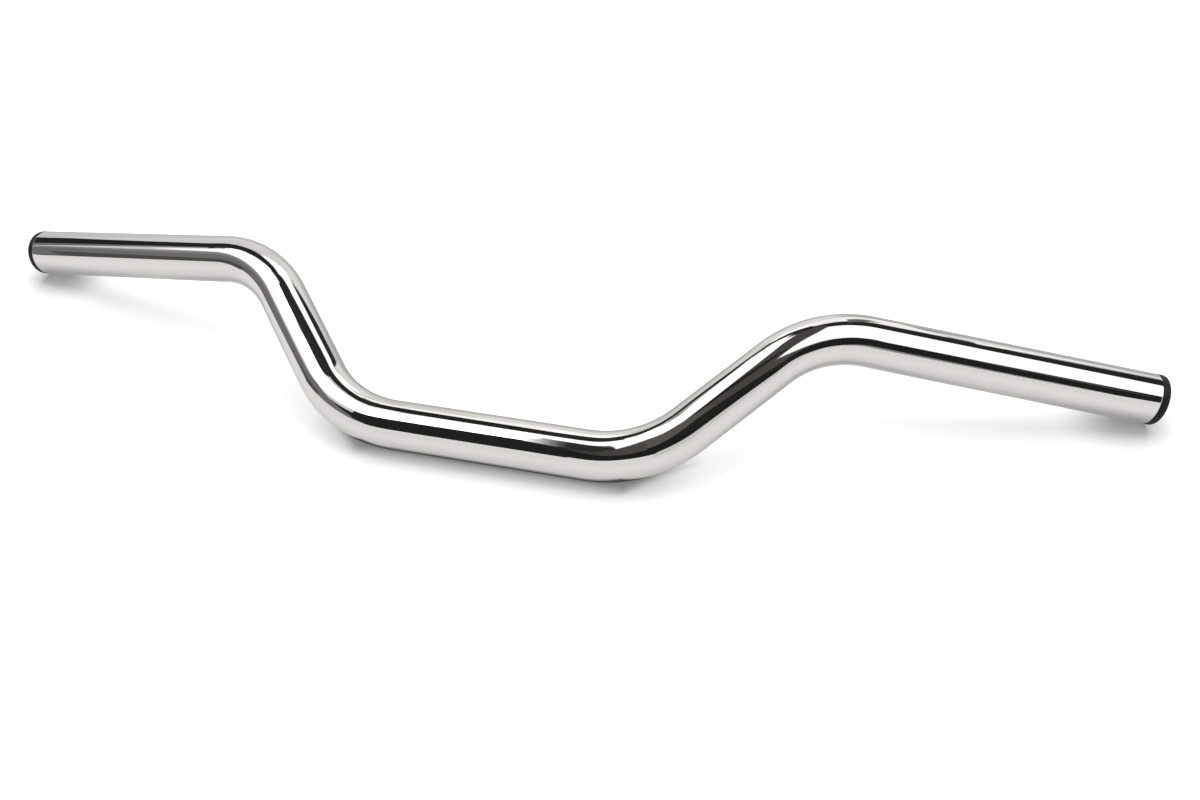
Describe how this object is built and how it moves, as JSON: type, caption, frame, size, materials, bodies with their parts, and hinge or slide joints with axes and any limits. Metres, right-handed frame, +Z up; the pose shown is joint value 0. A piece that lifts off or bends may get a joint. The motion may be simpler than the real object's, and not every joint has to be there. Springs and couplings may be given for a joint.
{
  "type": "motorcycle handlebar",
  "caption": "Bent round steel tube handlebar with a straight clamp section, two risers, swept-back grip ends and a plastic plug in each end.",
  "frame": {"origin": "on the tube's axis at the middle of the straight clamp section", "axes": "+X along the clamp section, towards the right of the picture; +Y back towards the grip ends; +Z up as the bar lies on a floor"},
  "size_m": [0.6428, 0.1302, 0.0572],
  "materials": {
    "chromed_tube": "polished chrome plate on steel tube",
    "black_plastic": "satin black moulded plastic"
  },
  "bodies": {
    "root": {"handlebar_tube": "chromed_tube", "left_end_plug": "black_plastic", "right_end_plug": "black_plastic"}
  },
  "joints": []
}
